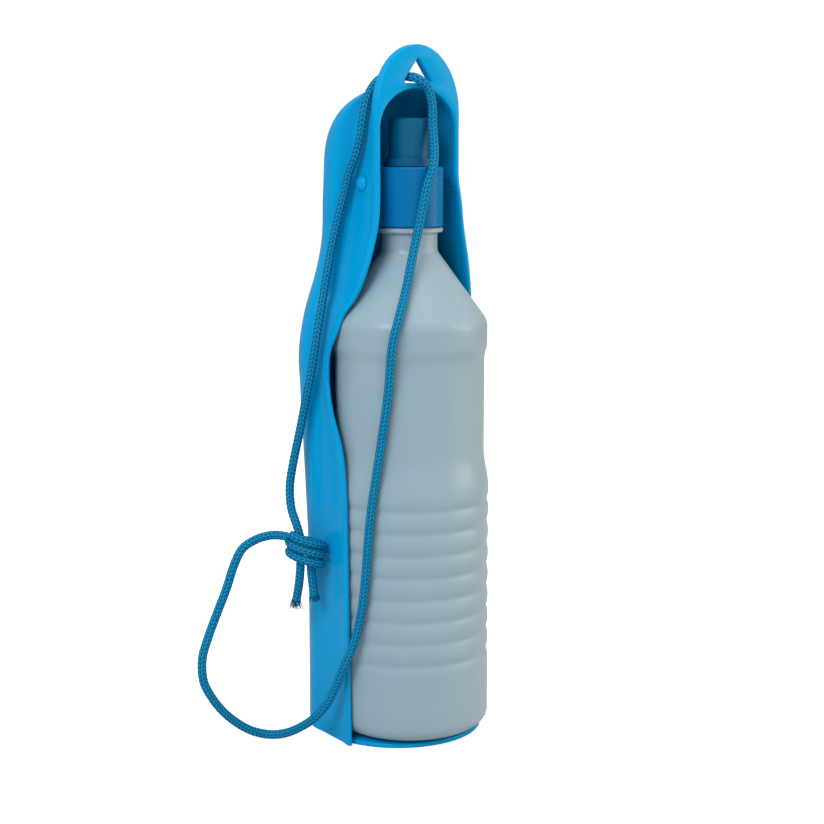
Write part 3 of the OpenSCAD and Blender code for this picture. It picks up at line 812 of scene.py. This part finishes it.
def body_profile(w):
    """(radius, height) from the middle of the base over the ribs, drawn in by w."""
    r, corner = BODY_D / 2, BODY_D / 2 - BASE_R
    profile = [(0, BASE_Z + 2.5 + w), (12, BASE_Z + 2.3 + w), (corner - 4, BASE_Z + 1 + w),
               (corner - 2.4, BASE_Z + 0.2 + w)]
    profile += [(corner + (BASE_R - w) * math.cos(math.radians(t)),
                 BASE_Z + BASE_R + (BASE_R - w) * math.sin(math.radians(t)))
                for t in range(-90, 1, 9)]
    profile += [(r - w, BASE_Z + BASE_R + (RIBS_LOW - BASE_Z - BASE_R) * k / 4)
                for k in (1, 2, 3)]
    for i in range(GROOVES * GROOVE_STEPS + 1):
        z = RIBS_LOW + i * GROOVE_PITCH / GROOVE_STEPS
        profile.append((groove_r(z) - w, z))
    return profile


def waist_profile(w):
    """(radius, height) of the waist and of the step up to the plain band, drawn in by w."""
    waist_low, step_low = RIBS_TOP + WAIST_BLEND, SHOULDER_Z - BAND_H - BAND_LEAD
    profile = [(BODY_D / 2 - w + (WAIST_D - BODY_D) / 2 * ease(k / 10),
                RIBS_TOP + WAIST_BLEND * k / 10) for k in range(1, 11)]
    profile += [(WAIST_D / 2 - w, waist_low + (step_low - waist_low) * k / 4)
                for k in (1, 2, 3, 4)]
    profile += [(WAIST_D / 2 - w + (BAND_D - WAIST_D) / 2 * ease(k / 8),
                 step_low + BAND_STEP * k / 8) for k in range(1, 9)]
    return profile


def cone_profile(w):
    """(radius, height) of the rounded shoulder and the cone up to the neck, drawn in by w."""
    slope = math.degrees(math.atan2(BAND_D / 2 - NECK_D / 2, NECK_Z - SHOULDER_Z))
    profile = [(BAND_D / 2 - SHOULDER_R + (SHOULDER_R - w) * math.cos(math.radians(slope * k / 8)),
                SHOULDER_Z - 3 + (SHOULDER_R - w) * math.sin(math.radians(slope * k / 8)))
               for k in range(9)]
    low, top = profile[-1], (NECK_D / 2 + 1.6 - w, NECK_Z - 0.8 - w / 2)
    profile += [(low[0] + (top[0] - low[0]) * k / 6, low[1] + (top[1] - low[1]) * k / 6)
                for k in range(1, 7)]
    profile += [(NECK_D / 2 + 0.6 - w, NECK_Z + 0.6 - w / 2), (NECK_D / 2 + 0.1 - w, NECK_Z + 1.6),
                (NECK_D / 2 - w, NECK_Z + 2.8)]
    return profile


def wall_profile(w):
    """(radius, height) of the bottle's wall from its base to its neck, drawn in by w."""
    return body_profile(w) + waist_profile(w) + cone_profile(w)


def finish_profile():
    """(radius, height) of the support ring and the finish, round the lip to the inside."""
    top, bore = RING_Z + RING_T, FINISH_D / 2 - BOTTLE_WALL - 0.2
    return [(NECK_D / 2, RING_Z - 0.3), (NECK_D / 2 + 0.3, RING_Z),
            (RING_D / 2 - 0.5, RING_Z + 0.4), (RING_D / 2, RING_Z + 0.8),
            (RING_D / 2, top - 0.4), (RING_D / 2 - 0.4, top), (FINISH_D / 2, top),
            (FINISH_D / 2, LIP_Z - 0.3), (FINISH_D / 2 - 0.3, LIP_Z), (bore, LIP_Z),
            (bore, RING_Z)]


def spin_profile(name, profile):
    """Turns a profile of (radius, height) round the Z axis into a closed piece."""
    obj = mesh_piece(name, [(r, 0, z) for r, z in profile], [])
    mesh = obj.data
    mesh.edges.add(len(profile) - 1)
    for i, edge in enumerate(mesh.edges):
        edge.vertices = (i, i + 1)
    activate(obj)
    bpy.ops.object.mode_set(mode="EDIT")
    bpy.ops.mesh.select_all(action="SELECT")
    bpy.ops.mesh.spin(steps=SPIN_STEPS, angle=2 * math.pi, center=(0, 0, 0), axis=(0, 0, 1))
    bpy.ops.object.mode_set(mode="OBJECT")
    recalculate_normals(obj)
    return obj


def build_bottle():
    """The blown bottle with its neck, support ring, plain finish and open mouth."""
    profile = wall_profile(0) + finish_profile() + wall_profile(BOTTLE_WALL)[::-1]
    bottle = spin_profile("bottle_blown", profile)
    smooth(bottle, 40)
    bottle.data.materials.append(BOTTLE_PLASTIC)
    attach(bottle, "bottle_body")
    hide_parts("bottle")


def dress_cad_nodes():
    """Node materials on the CAD nodes that are shown as they are."""
    dress = {"cap": CAP_PLASTIC, "nozzle": NOZZLE_PLASTIC, "nozzle_seal": SEAL_RUBBER,
             "cap_washer": SEAL_RUBBER, "pivot_pin_left": TROUGH_PLASTIC,
             "pivot_pin_right": TROUGH_PLASTIC}
    for name, material in dress.items():
        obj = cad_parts[name]
        obj.data.materials.clear()
        obj.data.materials.append(material)


# ---------- stage ----------
LAMP_AIM = Vector((0, 0, 0.13))


def add_area_light(name, place, size, power, colour):
    """A large soft lamp that faces the bottle's middle."""
    bpy.ops.object.light_add(type="AREA", location=place)
    lamp = bpy.context.object
    lamp.name = name
    lamp.data.size = size
    lamp.data.energy = power
    lamp.data.color = colour
    aim = LAMP_AIM - Vector(place)
    lamp.rotation_euler = aim.to_track_quat("-Z", "Y").to_euler()


FLOOR_SIZE, FLOOR_GREY, FLOOR_GLOW = 30, 0.6, 0.72
LAMPS = [              # name, place, size, power, colour
    ("key_left", (-1.05, -0.5, 0.98), 0.7, 12, (0.9, 0.97, 1.0)),
    ("fill_right", (1.1, -0.8, 0.5), 0.9, 10, (1.0, 0.86, 0.7)),
    ("front_low", (-0.5, -1.5, 0.35), 1.0, 2.5, (1.0, 1.0, 1.0)),
    ("top", (0.1, -0.1, 1.5), 1.2, 7, (1.0, 1.0, 1.0))]
SEEN_WHITE, SOFT_WHITE = 1.05, 0.45  # strength of the surround to the eye and on the object


def build_floor():
    """Pale paper floor that glows to the eye alone, so that it casts no light on the object."""
    bpy.ops.mesh.primitive_plane_add(size=FLOOR_SIZE, location=(0, 0, 0))
    floor = bpy.context.object
    floor.name = "floor"
    material, tree, shader = new_material("floor_paper")
    shader.inputs["Base Color"].default_value = (FLOOR_GREY, FLOOR_GREY, FLOOR_GREY, 1)
    shader.inputs["Roughness"].default_value = 0.9
    shader.inputs["Emission Color"].default_value = (1, 1, 1, 1)
    seen = tree.nodes.new("ShaderNodeLightPath").outputs["Is Camera Ray"]
    tree.links.new(math_node(tree, "MULTIPLY", seen, FLOOR_GLOW),
                   shader.inputs["Emission Strength"])
    floor.data.materials.append(material)


def build_stage():
    """Pale floor, soft lamps and an even bright surround."""
    build_floor()
    for lamp in LAMPS:
        add_area_light(*lamp)
    white_surround()


def white_surround():
    """White behind the object, and a dimmer even light from all round."""
    world = bpy.data.worlds.new("surround")
    bpy.context.scene.world = world
    world.use_nodes = True
    tree = world.node_tree
    seen = tree.nodes["Background"]
    seen.inputs["Color"].default_value = (1, 1, 1, 1)
    seen.inputs["Strength"].default_value = SEEN_WHITE
    light = node(tree, "ShaderNodeBackground", Strength=SOFT_WHITE)
    light.inputs["Color"].default_value = (1, 1, 1, 1)
    pick = tree.nodes.new("ShaderNodeMixShader")
    tree.links.new(tree.nodes.new("ShaderNodeLightPath").outputs["Is Camera Ray"],
                   pick.inputs[0])
    tree.links.new(light.outputs[0], pick.inputs[1])
    tree.links.new(seen.outputs[0], pick.inputs[2])
    tree.links.new(pick.outputs[0], tree.nodes["World Output"].inputs["Surface"])


CORD_FIBRE = cord_fibre()
TROUGH_PLASTIC = trough_plastic()
CAP_PLASTIC = cap_plastic()
NOZZLE_PLASTIC = nozzle_plastic()
SEAL_RUBBER = seal_rubber()
BOTTLE_PLASTIC = bottle_plastic()

add_camera()
build_cords()
build_trough()
build_bottle()
dress_cad_nodes()
build_stage()
deselect_all()
